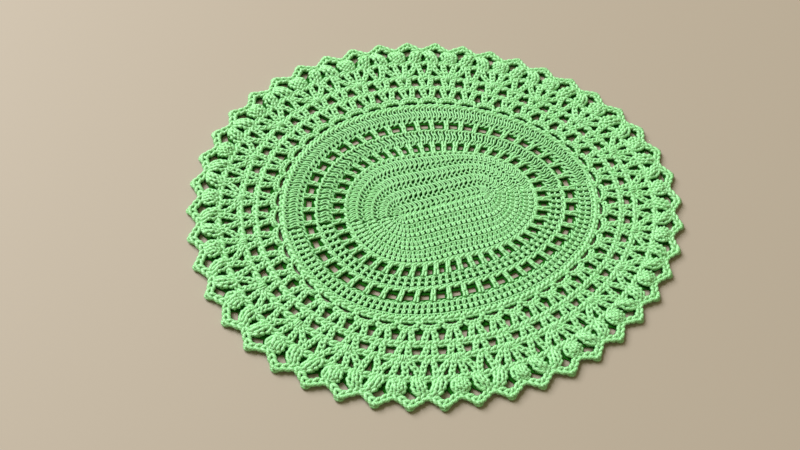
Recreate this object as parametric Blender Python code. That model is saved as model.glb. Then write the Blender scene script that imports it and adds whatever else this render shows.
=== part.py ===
"""Oval lace doily, crocheted in one piece in the round and lying flat.

One sheet holds the whole doily. The gaps of its lace rounds are cut through, the lines
between the close rounds of its centre are shallow grooves, and its puff stitches and
the knots of its fan round are raised on top. Metres, +Z up, underside on z = 0, and the
origin under the middle of the sheet's box.
"""

import math
from functools import lru_cache
from typing import NamedTuple

import bmesh
import bpy
import numpy as np
from mathutils import Matrix, Vector

MM = 0.001

# Thicknesses, from the underside.
CLOTH_THICK = 3.0 * MM
PUFF_TOP = 6.4 * MM
KNOT_TOP = 4.6 * MM

# A ring of the doily is named by its size, its mean distance from the middle.
# It is longer than it is wide by four times its stretch.
INNER_RING = 57.0 * MM
INNER_STRETCH = 12.0 * MM
OUTER_RING = 154.0 * MM
OUTER_STRETCH = 13.5 * MM

# The close centre is worked round a foundation chain, which lies a little askew.
CENTRE_HALF_WIDTH = 41.6 * MM
CENTRE_ROUNDS = 4
FOUNDATION_HALF = 29.3 * MM
FOUNDATION_DRAWN_IN = 5.4 * MM
FOUNDATION_TURN = math.radians(5.5)
FOUNDATION_MIDDLE = Vector((2.8 * MM, -0.2 * MM))
GROOVE_HALF_WIDTH = 1.0 * MM
GROOVE_LIFT = 0.15 * MM
GROOVE_POINTS = 42

# The lace: two scallops of the rim for each fan.
FANS = 23
SCALLOPS = 2 * FANS
FAN_START = 0.5465
SCALLOP_VALLEY = 146.0 * MM
RING_STEPS = 720
DOME_RINGS = 4
FLAT_ANGLE = math.radians(0.2)


class Wave(NamedTuple):
    """Unevenness of the oval: how many crests, how high at the rim, and where the first is."""

    crests: int
    height: float
    first_crest: float


WAVES = (
    Wave(crests=3, height=2.7 * MM, first_crest=math.radians(-6.8)),
    Wave(crests=4, height=0.85 * MM, first_crest=math.radians(1.5)),
    Wave(crests=5, height=0.85 * MM, first_crest=math.radians(-1.5)),
)


class Gap(NamedTuple):
    """One kind of gap, repeated round a ring. start is a share of the pitch between two."""

    name: str
    count: int
    start: float
    inner_ring: float
    outer_ring: float
    inner_width: float
    middle_width: float
    outer_width: float
    lean: float


GAPS = (
    Gap("first eyelets", 48, 0.287, 54.4 * MM, 60.0 * MM, 5.0 * MM, 0.0, 5.2 * MM, 0.0),
    Gap("second eyelets", 48, 0.070, 73.2 * MM, 79.0 * MM, 7.0 * MM, 0.0, 7.4 * MM, 0.0),
    Gap("lower lattice", 46, 0.593, 101.0 * MM, 107.0 * MM, 6.0 * MM, 0.0, 3.4 * MM, 0.0),
    Gap("upper lattice", 46, 0.593, 111.6 * MM, 116.2 * MM, 8.4 * MM, 0.0, 5.6 * MM, 0.0),
    Gap("fan middle", FANS, 0.5465, 126.6 * MM, 131.8 * MM, 2.0 * MM, 0.0, 5.0 * MM, 0.0),
    Gap("between fans", FANS, 0.0465, 126.6 * MM, 132.2 * MM, 2.0 * MM, 6.0 * MM, 2.6 * MM, 0.0),
    Gap("rim after a puff", FANS, 0.7965, 138.6 * MM, 147.4 * MM, 1.2 * MM, 4.6 * MM, 7.4 * MM, -1.2 * MM),
    Gap("rim before a puff", FANS, 0.2965, 138.6 * MM, 147.4 * MM, 1.2 * MM, 4.6 * MM, 7.4 * MM, 1.2 * MM),
)


class Bump(NamedTuple):
    """One kind of raised stitch. side is its distance along the ring, lean its tilt in degrees."""

    name: str
    start: float
    ring: float
    side: float
    length: float
    width: float
    top: float
    lean: float
    sides: int


BUMPS = (
    Bump("single puff", 0.5465, 139.4 * MM, 0.0, 13.0 * MM, 13.2 * MM, PUFF_TOP, 0.0, 8),
    Bump("left puff", 0.0465, 138.8 * MM, -5.3 * MM, 13.8 * MM, 10.0 * MM, PUFF_TOP, -16.0, 8),
    Bump("right puff", 0.0465, 138.8 * MM, 5.3 * MM, 13.8 * MM, 10.0 * MM, PUFF_TOP, 16.0, 8),
    Bump("knot", 0.5465, 120.2 * MM, 0.0, 5.4 * MM, 7.4 * MM, KNOT_TOP, 0.0, 6),
)


class RimPoint(NamedTuple):
    """One point of a scallop: its distance from the scallop's middle, and its ring."""

    side: float
    ring: float


SCALLOP = (
    RimPoint(side=-6.0 * MM, ring=148.9 * MM),
    RimPoint(side=-2.6 * MM, ring=150.9 * MM),
    RimPoint(side=0.0, ring=152.0 * MM),
    RimPoint(side=2.6 * MM, ring=150.9 * MM),
    RimPoint(side=6.0 * MM, ring=148.9 * MM),
)


def clear_scene():
    """Remove the objects that the scene starts with."""
    for item in list(bpy.data.objects):
        bpy.data.objects.remove(item, do_unlink=True)


def new_collection(name):
    """Make a collection of the scene."""
    collection = bpy.data.collections.new(name)
    bpy.context.scene.collection.children.link(collection)
    return collection


def ring_radius(angles, size):
    """Distance from the middle at these angles, on the ring of this size."""
    growth = (size - INNER_RING) / (OUTER_RING - INNER_RING)
    stretch = INNER_STRETCH + growth * (OUTER_STRETCH - INNER_STRETCH)
    radius = size + stretch * np.cos(2.0 * angles)
    fade = math.sqrt(min(size / OUTER_RING, 1.0))
    for wave in WAVES:
        radius = radius + fade * wave.height * np.cos(wave.crests * (angles - wave.first_crest))
    return radius


def share_table(outline):
    """Share of an outline's length at each of its points."""
    steps = np.linalg.norm(np.diff(outline, axis=0), axis=1)
    lengths = np.concatenate(([0.0], np.cumsum(steps)))
    return lengths / lengths[-1], lengths[-1]


@lru_cache(maxsize=None)
def ring_table(size):
    """Outline of a ring, with the share of its length at each point, and its length."""
    angles = np.linspace(0.0, 2.0 * math.pi, RING_STEPS + 1)
    radius = ring_radius(angles, size)
    outline = np.stack((radius * np.cos(angles), radius * np.sin(angles)), axis=1)
    shares, length = share_table(outline)
    return outline, shares, length


def ring_place(share, size, side=0.0):
    """Point on the ring at a share of its length, moved sideways along it."""
    outline, shares, length = ring_table(size)
    turn = (share + side / length) % 1.0
    return Vector((np.interp(turn, shares, outline[:, 0]), np.interp(turn, shares, outline[:, 1])))


def oblong(half_width, count):
    """Round of the close centre: straight beside the foundation chain, round at its ends."""
    part = half_width / CENTRE_HALF_WIDTH
    straight = FOUNDATION_HALF - FOUNDATION_DRAWN_IN * part
    turns = np.linspace(0.0, 2.0 * math.pi, RING_STEPS + 1)
    ends = np.where(np.cos(turns) >= 0.0, straight, -straight)
    outline = np.stack((ends + half_width * np.cos(turns), half_width * np.sin(turns)), axis=1)
    shares, length = share_table(outline)
    places = []
    for index in range(count):
        turn = index / count
        flat = Vector((np.interp(turn, shares, outline[:, 0]), np.interp(turn, shares, outline[:, 1])))
        flat.rotate(Matrix.Rotation(FOUNDATION_TURN, 2))
        flat = flat + FOUNDATION_MIDDLE
        oval = ring_place(turn, half_width + INNER_STRETCH)
        places.append(flat.lerp(oval, part * part))
    return places


def gap_outline(gap, index):
    """Corners of one gap, from its inner left corner round to its inner right one."""
    share = (index + gap.start) / gap.count
    inner = gap.lean
    corners = [ring_place(share, gap.inner_ring, inner - gap.inner_width / 2.0)]
    middle_ring = (gap.inner_ring + gap.outer_ring) / 2.0
    if gap.middle_width > 0.0:
        corners.append(ring_place(share, middle_ring, inner / 2.0 - gap.middle_width / 2.0))
    corners.append(ring_place(share, gap.outer_ring, -gap.outer_width / 2.0))
    corners.append(ring_place(share, gap.outer_ring, gap.outer_width / 2.0))
    if gap.middle_width > 0.0:
        corners.append(ring_place(share, middle_ring, inner / 2.0 + gap.middle_width / 2.0))
    corners.append(ring_place(share, gap.inner_ring, inner + gap.inner_width / 2.0))
    return corners


def rim_outline():
    """Outer edge: a valley between each two scallops, and each scallop's rounded point."""
    edge = []
    valley_start = 2.0 * FAN_START
    for index in range(SCALLOPS):
        edge.append(ring_place((index + valley_start) / SCALLOPS, SCALLOP_VALLEY))
        middle = (index + valley_start + 0.5) / SCALLOPS
        for point in SCALLOP:
            edge.append(ring_place(middle, point.ring, point.side))
    return edge


def box_middle(points):
    """Middle of the box round these points."""
    xs = [point.x for point in points]
    ys = [point.y for point in points]
    return Vector(((min(xs) + max(xs)) / 2.0, (min(ys) + max(ys)) / 2.0))


def add_spline(curve, points):
    """Add a closed run of straight stretches to a curve."""
    spline = curve.splines.new("POLY")
    spline.points.add(len(points) - 1)
    for slot, point in zip(spline.points, points):
        slot.co = (point.x, point.y, 0.0, 1.0)
    spline.use_cyclic_u = True


def curve_to_mesh(name, curve, collection, height):
    """Turn a curve into a welded mesh object at this height."""
    holder = bpy.data.objects.new(name + "_curve", curve)
    holder.location.z = height
    collection.objects.link(holder)
    bpy.context.view_layer.update()
    seen = holder.evaluated_get(bpy.context.evaluated_depsgraph_get())
    mesh = bpy.data.meshes.new_from_object(seen)
    made = bpy.data.objects.new(name, mesh)
    made.matrix_world = holder.matrix_world
    collection.objects.link(made)
    bpy.data.objects.remove(holder, do_unlink=True)
    shape = bmesh.new()
    shape.from_mesh(mesh)
    bmesh.ops.remove_doubles(shape, verts=shape.verts, dist=0.00001)
    shape.to_mesh(mesh)
    shape.free()
    return made


def make_sheet(collection, shift):
    """Flat sheet with its scalloped rim and every gap cut through."""
    curve = bpy.data.curves.new("doily_outline", "CURVE")
    curve.dimensions = "2D"
    curve.fill_mode = "BOTH"
    curve.extrude = CLOTH_THICK / 2.0
    add_spline(curve, [point - shift for point in rim_outline()])
    for gap in GAPS:
        for index in range(gap.count):
            add_spline(curve, [point - shift for point in gap_outline(gap, index)])
    return curve_to_mesh("doily", curve, collection, CLOTH_THICK / 2.0)


def make_grooves(collection, shift):
    """Cutters for the lines between the close rounds of the centre."""
    cutters = []
    for line in range(1, CENTRE_ROUNDS):
        half_width = CENTRE_HALF_WIDTH * line / CENTRE_ROUNDS
        curve = bpy.data.curves.new("round_line", "CURVE")
        curve.dimensions = "3D"
        curve.bevel_depth = GROOVE_HALF_WIDTH
        curve.bevel_resolution = 0
        add_spline(curve, [point - shift for point in oblong(half_width, GROOVE_POINTS)])
        height = CLOTH_THICK + GROOVE_LIFT
        cutters.append(curve_to_mesh("round_line_%d" % line, curve, collection, height))
    return cutters


def add_dome(shape, bump, index, shift):
    """Add one raised stitch to a mesh: a squashed ball that stands in the cloth."""
    share = (index + bump.start) / FANS
    middle = ring_place(share, bump.ring, bump.side)
    inner = ring_place(share, bump.ring - bump.length / 2.0, bump.side)
    outwards = middle - inner
    turn = math.atan2(outwards.y, outwards.x) + math.radians(bump.lean)
    base = CLOTH_THICK / 2.0
    place = Matrix.Translation((middle.x - shift.x, middle.y - shift.y, base))
    spin = Matrix.Rotation(turn, 4, "Z")
    size = Matrix.Diagonal((bump.length / 2.0, bump.width / 2.0, bump.top - base, 1.0))
    half_step = Matrix.Rotation(math.pi / bump.sides, 4, "Z")
    ball = bmesh.ops.create_uvsphere(
        shape,
        u_segments=bump.sides,
        v_segments=DOME_RINGS,
        radius=1.0,
        matrix=place @ spin @ size @ half_step,
    )
    floor = [vert for vert in ball["verts"] if vert.co.z < base - 0.0001]
    for vert in floor:
        vert.co.z = max(vert.co.z, CLOTH_THICK / 6.0)


def make_bumps(collection, shift):
    """Raised stitches, one object for each kind."""
    made = []
    for bump in BUMPS:
        shape = bmesh.new()
        for index in range(FANS):
            add_dome(shape, bump, index, shift)
        mesh = bpy.data.meshes.new(bump.name.replace(" ", "_"))
        shape.to_mesh(mesh)
        shape.free()
        item = bpy.data.objects.new(mesh.name, mesh)
        collection.objects.link(item)
        made.append(item)
    return made


def shape_with(target, tools, operation):
    """Join other meshes to an object, or cut them from it, and keep the result."""
    for tool in tools:
        tool.hide_render = True
        tool.display_type = "WIRE"
        step = target.modifiers.new(tool.name, "BOOLEAN")
        step.operation = operation
        step.solver = "EXACT"
        step.object = tool


def drop_flat_edges(target):
    """Dissolve the edges and points that lie inside the sheet's flat faces."""
    step = target.modifiers.new("flat_faces", "DECIMATE")
    step.decimate_type = "DISSOLVE"
    step.angle_limit = FLAT_ANGLE


def cotton(name):
    """Mercerised cotton yarn, spring green."""
    material = bpy.data.materials.new(name)
    material.use_nodes = True
    shader = material.node_tree.nodes["Principled BSDF"]
    shader.inputs["Base Color"].default_value = (0.21, 0.48, 0.18, 1.0)
    shader.inputs["Roughness"].default_value = 0.72
    shader.inputs["Metallic"].default_value = 0.0
    return material


def main():
    """Build the doily."""
    clear_scene()
    pieces = new_collection("lace_doily")
    cutters = new_collection("cutters")
    shift = box_middle(rim_outline())
    doily = make_sheet(pieces, shift)
    shape_with(doily, make_grooves(cutters, shift), "DIFFERENCE")
    shape_with(doily, make_bumps(cutters, shift), "UNION")
    drop_flat_edges(doily)
    doily.data.materials.clear()
    doily.data.materials.append(cotton("green cotton yarn"))


main()
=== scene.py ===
"""Looks of an oval lace doily, crocheted in one piece from green cotton yarn.

Every stitch is modelled from the yarn that makes it. A round of the doily is a strip
between two rings of its oval. The strands of one stitch are laid out flat, in metres
along and across the strip, and a node tree copies them round, bends them to the oval
and gives them the yarn's thickness. A thin core sheet lies inside the yarn; its dark
green is painted shade, which shows between the strands and round the gaps.
"""

import logging
import math
import random
from dataclasses import dataclass, field
from enum import Enum
from typing import Any, Optional

import bmesh
import bpy
import numpy as np
from mathutils import Matrix, Vector


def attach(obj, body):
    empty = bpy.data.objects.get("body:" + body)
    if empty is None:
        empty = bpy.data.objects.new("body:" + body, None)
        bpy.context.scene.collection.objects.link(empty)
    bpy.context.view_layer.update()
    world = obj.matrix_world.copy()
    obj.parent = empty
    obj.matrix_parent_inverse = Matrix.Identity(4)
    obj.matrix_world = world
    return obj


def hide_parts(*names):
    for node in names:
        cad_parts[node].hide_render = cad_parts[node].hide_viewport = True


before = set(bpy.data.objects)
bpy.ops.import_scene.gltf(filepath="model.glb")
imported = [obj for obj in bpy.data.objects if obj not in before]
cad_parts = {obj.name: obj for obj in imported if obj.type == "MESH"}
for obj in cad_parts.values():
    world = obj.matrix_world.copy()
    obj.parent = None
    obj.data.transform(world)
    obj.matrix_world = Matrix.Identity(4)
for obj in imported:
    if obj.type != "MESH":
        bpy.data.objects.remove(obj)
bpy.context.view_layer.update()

LOG = logging.getLogger("doily")
MM = 0.001
TINY = 1e-9

Point = tuple[float, float, float]
Spot = tuple[float, float]


def linear(code: str) -> tuple[float, float, float, float]:
    """Turn an sRGB hex colour into linear light.

    Args:
        code: Six hex digits, such as "9edba2".

    Returns:
        Red, green, blue and an alpha of one.
    """
    channels = []
    for start in (0, 2, 4):
        share = int(code[start:start + 2], 16) / 255.0
        low = share <= 0.04045
        channels.append(share / 12.92 if low else ((share + 0.055) / 1.055) ** 2.4)
    return channels[0], channels[1], channels[2], 1.0


def add_node(
    tree: bpy.types.NodeTree,
    kind: str,
    settings: Optional[dict[str, Any]] = None,
    inputs: Optional[dict[Any, Any]] = None,
) -> bpy.types.Node:
    """Add a node with its settings, and set or link its inputs.

    Args:
        tree: The tree that gets the node.
        kind: The node's type name.
        settings: Properties of the node.
        inputs: For each input's name or number, a value or another node's output.

    Returns:
        The new node.
    """
    node = tree.nodes.new(kind)
    for name, value in (settings or {}).items():
        setattr(node, name, value)
    for key, value in (inputs or {}).items():
        if isinstance(value, bpy.types.NodeSocket):
            tree.links.new(value, node.inputs[key])
        else:
            node.inputs[key].default_value = value
    return node


def new_object(name: str, data: Any) -> bpy.types.Object:
    """Put new data in the scene as an object at the origin.

    Args:
        name: Name of the object.
        data: Its mesh, curve, light or camera.

    Returns:
        The new object.
    """
    made = bpy.data.objects.new(name, data)
    bpy.context.scene.collection.objects.link(made)
    return made


# ---------------------------------------------------------------- the oval


@dataclass(frozen=True)
class Wave:
    """Unevenness of the oval: its crests, their height at the rim, the first one's place."""

    crests: int
    height: float
    first_crest: float


@dataclass(frozen=True)
class Oval:
    """The doily's rings, each named by its size, which is its mean distance from the middle."""

    inner_ring: float = 57.0 * MM
    inner_stretch: float = 12.0 * MM
    outer_ring: float = 154.0 * MM
    outer_stretch: float = 13.5 * MM
    middle: Spot = (3.416 * MM, 0.881 * MM)
    steps: int = 1440
    waves: tuple[Wave, ...] = (
        Wave(crests=3, height=2.7 * MM, first_crest=math.radians(-6.8)),
        Wave(crests=4, height=0.85 * MM, first_crest=math.radians(1.5)),
        Wave(crests=5, height=0.85 * MM, first_crest=math.radians(-1.5)),
    )

    def radius(self, angles: np.ndarray, size: float) -> np.ndarray:
        """Distance from the oval's own centre at these angles.

        Args:
            angles: Angles in radians.
            size: Size of the ring.

        Returns:
            One distance for each angle.
        """
        growth = (size - self.inner_ring) / (self.outer_ring - self.inner_ring)
        stretch = self.inner_stretch + growth * (self.outer_stretch - self.inner_stretch)
        radius = size + stretch * np.cos(2.0 * angles)
        fade = math.sqrt(min(size / self.outer_ring, 1.0))
        for wave in self.waves:
            radius += fade * wave.height * np.cos(wave.crests * (angles - wave.first_crest))
        return radius

    def outline(self, size: float) -> np.ndarray:
        """Closed line of points round a ring.

        Args:
            size: Size of the ring.

        Returns:
            Rows of x and y, measured from the oval's own centre.
        """
        angles = np.linspace(0.0, 2.0 * math.pi, self.steps + 1)
        radius = self.radius(angles, size)
        return np.stack((radius * np.cos(angles), radius * np.sin(angles)), axis=1)

    def along(self, shares: np.ndarray, size: float, side: float = 0.0) -> np.ndarray:
        """Places at shares of a ring's length.

        Args:
            shares: Shares of the length, from the +X end.
            size: Size of the ring.
            side: Distance by which each place moves along the ring.

        Returns:
            One row of x and y for each share, in the doily's own frame.
        """
        line = self.outline(size)
        return spread(line, np.asarray(shares) + side / line_length(line)) - np.array(self.middle)


def line_length(line: np.ndarray) -> float:
    """Length of a line of points."""
    return float(np.linalg.norm(np.diff(line, axis=0), axis=1).sum())


def spread(line: np.ndarray, shares: np.ndarray) -> np.ndarray:
    """Points at shares of a closed line's length.

    Args:
        line: Rows of x and y, the last one equal to the first.
        shares: Shares of the length; whole turns are left out.

    Returns:
        One row of x and y for each share.
    """
    steps = np.linalg.norm(np.diff(line, axis=0), axis=1)
    run = np.concatenate(([0.0], np.cumsum(steps)))
    turn = np.mod(shares, 1.0) * run[-1]
    return np.stack((np.interp(turn, run, line[:, 0]), np.interp(turn, run, line[:, 1])), axis=1)


@dataclass(frozen=True)
class Centre:
    """Rings of the close centre: straight beside its foundation chain, round at its ends."""

    oval: Oval
    half_width: float = 41.6 * MM
    foundation_half: float = 29.3 * MM
    drawn_in: float = 5.4 * MM
    turn: float = math.radians(5.5)
    middle: Spot = (2.8 * MM, -0.2 * MM)

    def outline(self, half_width: float) -> np.ndarray:
        """Closed line of points round a ring of the centre.

        Args:
            half_width: Distance of the ring from the foundation chain.

        Returns:
            Rows of x and y in the doily's own frame.
        """
        part = half_width / self.half_width
        straight = self.foundation_half - self.drawn_in * part
        turns = np.linspace(0.0, 2.0 * math.pi, self.oval.steps + 1)
        ends = np.where(np.cos(turns) >= 0.0, straight, -straight)
        flat = np.stack((ends + half_width * np.cos(turns), half_width * np.sin(turns)), axis=1)
        shares = np.linspace(0.0, 1.0, self.oval.steps + 1)
        flat = spread(flat, shares)
        spin = np.array(Matrix.Rotation(self.turn, 2))
        flat = flat @ spin.T + np.array(self.middle) - np.array(self.oval.middle)
        oval = self.oval.along(shares, half_width + self.oval.inner_stretch)
        return flat + (oval - flat) * part * part


# ---------------------------------------------------------------- strips and strands


class Columns(Enum):
    """How the stitches of a round stand between its two rings."""

    EVEN = "at equal shares of both rings"
    SQUARE = "square to the outer ring"


@dataclass(frozen=True)
class Strip:
    """The flat strip of cloth that one round of stitches fills.

    Its mesh holds, for each point, its place as shares along and across the strip, and how
    much room the yarn has there beside the outer ring.
    """

    inner: np.ndarray
    outer: np.ndarray
    width: float
    columns: Columns = Columns.EVEN
    margin: float = 1.0
    steps: int = 720
    overlap: int = 60
    search: int = 8
    blur: int = 4
    room_gain: float = 1.6
    least_room: float = 0.3

    @property
    def blur_shares(self) -> np.ndarray:
        """Shares of a running mean over the neighbours."""
        return np.full(2 * self.blur + 1, 1.0 / (2 * self.blur + 1))

    def rows(self) -> tuple[np.ndarray, np.ndarray, np.ndarray]:
        """Places along both edges of the strip, which overlaps itself where it closes.

        Returns:
            Shares along the strip, and the inner and outer points at each.
        """
        turns = np.arange(-self.overlap, self.steps + self.overlap + 1) / self.steps
        outer = spread(self.outer, turns)
        if self.columns is Columns.EVEN:
            return turns, spread(self.inner, turns), outer
        dense_steps = self.search * self.steps
        dense = spread(self.inner, np.arange(dense_steps) / dense_steps)
        gaps = np.linalg.norm(outer[:, None, :] - dense[None, :, :], axis=2)
        return turns, dense[gaps.argmin(axis=1)], outer

    def mesh(self, name: str) -> bpy.types.Mesh:
        """Strip of quads, wider than the round by its margin on both sides.

        Args:
            name: Name of the mesh.

        Returns:
            A mesh with the point attributes chart and room.
        """
        turns, inner, outer = self.rows()
        across = outer - inner
        lines = (inner - across * self.margin, inner, outer, outer + across * self.margin)
        heights = (-self.margin, 0.0, 1.0, 1.0 + self.margin)
        edges = (inner, inner, outer, outer)
        count = len(turns)
        points = np.zeros((len(lines) * count, 3))
        chart = np.zeros((len(lines) * count, 3))
        room = np.zeros(len(lines) * count)
        spacing = line_length(self.outer) / self.steps
        for row, (line, height, edge) in enumerate(zip(lines, heights, edges)):
            span = slice(row * count, (row + 1) * count)
            gaps = np.linalg.norm(np.gradient(edge, axis=0), axis=1) / spacing
            gaps = np.pad(gaps, self.blur, mode="edge")
            gaps = np.convolve(gaps, self.blur_shares, mode="valid")
            points[span, :2] = line
            chart[span, 0] = turns
            chart[span, 1] = height
            room[span] = np.clip(self.room_gain * gaps, self.least_room, 1.0)
        faces = []
        for row in range(len(lines) - 1):
            for step in range(count - 1):
                corner = row * count + step
                faces.append((corner, corner + 1, corner + count + 1, corner + count))
        made = bpy.data.meshes.new(name)
        made.from_pydata(points.tolist(), [], faces)
        store = made.attributes.new("chart", "FLOAT_VECTOR", "POINT")
        store.data.foreach_set("vector", chart.ravel())
        store = made.attributes.new("room", "FLOAT", "POINT")
        store.data.foreach_set("value", room)
        return made

    def length(self) -> float:
        """Length of the strip along its middle, once round.

        Returns:
            The length in metres.
        """
        turns, inner, outer = self.rows()
        once = slice(self.overlap, self.overlap + self.steps + 1)
        return line_length(((inner + outer) / 2.0)[once])


@dataclass
class Strand:
    """One run of yarn in a flat stitch: points in metres along, across and above the strip.

    Its thickness is a share of the yarn's own. Its swell adds to that at each point.
    """

    points: list[Point]
    thick: float = 1.0
    swell: Optional[list[float]] = None


@dataclass(frozen=True)
class Route:
    """A bent line on the flat strip that a chain or a long stitch follows."""

    points: tuple[Point, ...]
    samples: int = 48

    def line(self) -> np.ndarray:
        """Smooth line through the route's own points.

        Returns:
            One row of x, y and z for each sample.
        """
        knots = np.array(self.points)
        if len(knots) == 2:
            part = np.linspace(0.0, 1.0, self.samples)[:, None]
            return knots[0] + part * (knots[1] - knots[0])
        ends = np.vstack((2 * knots[0] - knots[1], knots, 2 * knots[-1] - knots[-2]))
        runs = []
        for index in range(len(knots) - 1):
            before, start, stop, after = ends[index:index + 4]
            part = np.linspace(0.0, 1.0, self.samples, endpoint=False)[:, None]
            arriving = (stop - before) / 2.0
            leaving = (after - start) / 2.0
            runs.append(
                (2 * part**3 - 3 * part**2 + 1) * start
                + (part**3 - 2 * part**2 + part) * arriving
                + (3 * part**2 - 2 * part**3) * stop
                + (part**3 - part**2) * leaving
            )
        runs.append(knots[-1:])
        return np.vstack(runs)

    def place(self, share: float, side: float, height: float) -> Point:
        """Point beside the route.

        Args:
            share: Share of the route's length; it may run past the ends.
            side: Distance to the left of the route.
            height: Height above the route.

        Returns:
            The point along, across and above the strip.
        """
        line = self.line()
        steps = np.linalg.norm(np.diff(line, axis=0), axis=1)
        run = np.concatenate(([0.0], np.cumsum(steps)))
        want = min(max(share, 0.0), 1.0) * run[-1]
        spot = np.array([np.interp(want, run, line[:, axis]) for axis in range(3)])
        index = min(max(int(np.searchsorted(run, want)), 1), len(line) - 1)
        ahead = line[index] - line[index - 1]
        ahead = ahead / max(float(np.linalg.norm(ahead)), TINY)
        spot = spot + ahead * (share - min(max(share, 0.0), 1.0)) * run[-1]
        left = np.array((-ahead[1], ahead[0], 0.0))
        left = left / max(float(np.linalg.norm(left)), TINY)
        spot = spot + left * side + np.array((0.0, 0.0, height))
        return float(spot[0]), float(spot[1]), float(spot[2])


# ---------------------------------------------------------------- the yarn


@dataclass(frozen=True)
class Yarn:
    """Mercerised cotton, number 3 weight, three plies twisted together.

    The plies make one turn in each lay. A real fibre is about 0.02 mm thick, too fine to
    show, so the fuzz is drawn at 0.25 mm.
    """

    radius: float = 0.86 * MM
    sides: int = 5
    smoothness: int = 2
    plies: int = 3
    lay: float = 4.2 * MM
    ply_relief: float = 0.12 * MM
    ply_strength: float = 0.6
    fibre: float = 0.25 * MM
    fibre_detail: float = 2.0
    fibre_relief: float = 0.05 * MM
    fibre_strength: float = 0.35
    tint_patch: float = 18.0 * MM
    patch_detail: float = 1.0
    patch_weight: float = 0.5
    darkest: float = -0.1
    colour: str = "9edba2"
    # Painted shade: the hollows between the plies are coloured darker than the yarn.
    ply_hollow_painted_shade: str = "6cba5e"
    roughness: float = 0.45
    ior: float = 1.53

    def material(self, name: str = "mercerised_cotton_yarn") -> bpy.types.Material:
        """The yarn's finish, with painted shade in the hollows between its plies and random
        patches of tone.

        Args:
            name: Name of the material.

        Returns:
            A material that reads the yarn's own turn and run attributes.
        """
        # Mercerised cotton is twisted hard and singed smooth: a soft shine along each ply.
        made = bpy.data.materials.new(name)
        made.use_nodes = True
        tree = made.node_tree
        shader = tree.nodes["Principled BSDF"]
        coords = add_node(tree, "ShaderNodeTexCoord")
        turn = add_node(tree, "ShaderNodeAttribute", {"attribute_name": "turn"})
        run = add_node(tree, "ShaderNodeAttribute", {"attribute_name": "run"})
        split = add_node(tree, "ShaderNodeSeparateXYZ", inputs={0: turn.outputs["Vector"]})
        angle = add_node(
            tree,
            "ShaderNodeMath",
            {"operation": "ARCTAN2"},
            {0: split.outputs["Y"], 1: split.outputs["X"]},
        )
        plies = add_node(
            tree,
            "ShaderNodeMath",
            {"operation": "MULTIPLY"},
            {0: angle.outputs[0], 1: float(self.plies)},
        )
        twist = add_node(
            tree,
            "ShaderNodeMath",
            {"operation": "MULTIPLY_ADD"},
            {0: run.outputs["Fac"], 1: 2.0 * math.pi * self.plies / self.lay, 2: plies.outputs[0]},
        )
        wave = add_node(tree, "ShaderNodeMath", {"operation": "SINE"}, {0: twist.outputs[0]})
        ridge = add_node(
            tree,
            "ShaderNodeMapRange",
            inputs={"Value": wave.outputs[0], "From Min": -1.0, "From Max": 1.0},
        )
        fibre = add_node(
            tree,
            "ShaderNodeTexNoise",
            inputs={
                "Vector": coords.outputs["Object"],
                "Scale": 1.0 / self.fibre,
                "Detail": self.fibre_detail,
            },
        )
        patch = add_node(
            tree,
            "ShaderNodeTexNoise",
            inputs={
                "Vector": coords.outputs["Object"],
                "Scale": 1.0 / self.tint_patch,
                "Detail": self.patch_detail,
            },
        )
        shade = add_node(
            tree,
            "ShaderNodeMath",
            {"operation": "MULTIPLY_ADD"},
            {0: patch.outputs["Fac"], 1: self.patch_weight, 2: ridge.outputs["Result"]},
        )
        shade_share = add_node(
            tree,
            "ShaderNodeMapRange",
            inputs={"Value": shade.outputs[0], "From Min": self.darkest, "From Max": 1.0},
        )
        # The colour runs from the painted shade of the ply hollows to the yarn's own colour on
        # each ply, shifted by random patches of tone.
        tint = add_node(
            tree,
            "ShaderNodeMix",
            {"data_type": "RGBA"},
            {
                "Factor": shade_share.outputs["Result"],
                6: linear(self.ply_hollow_painted_shade),
                7: linear(self.colour),
            },
        )
        bump = add_node(
            tree,
            "ShaderNodeBump",
            inputs={
                "Height": ridge.outputs["Result"],
                "Strength": self.ply_strength,
                "Distance": self.ply_relief,
            },
        )
        fuzz = add_node(
            tree,
            "ShaderNodeBump",
            inputs={
                "Height": fibre.outputs["Fac"],
                "Strength": self.fibre_strength,
                "Distance": self.fibre_relief,
                "Normal": bump.outputs["Normal"],
            },
        )
        tree.links.new(tint.outputs[2], shader.inputs["Base Color"])
        tree.links.new(fuzz.outputs["Normal"], shader.inputs["Normal"])
        shader.inputs["Roughness"].default_value = self.roughness
        shader.inputs["IOR"].default_value = self.ior
        return made


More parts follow.
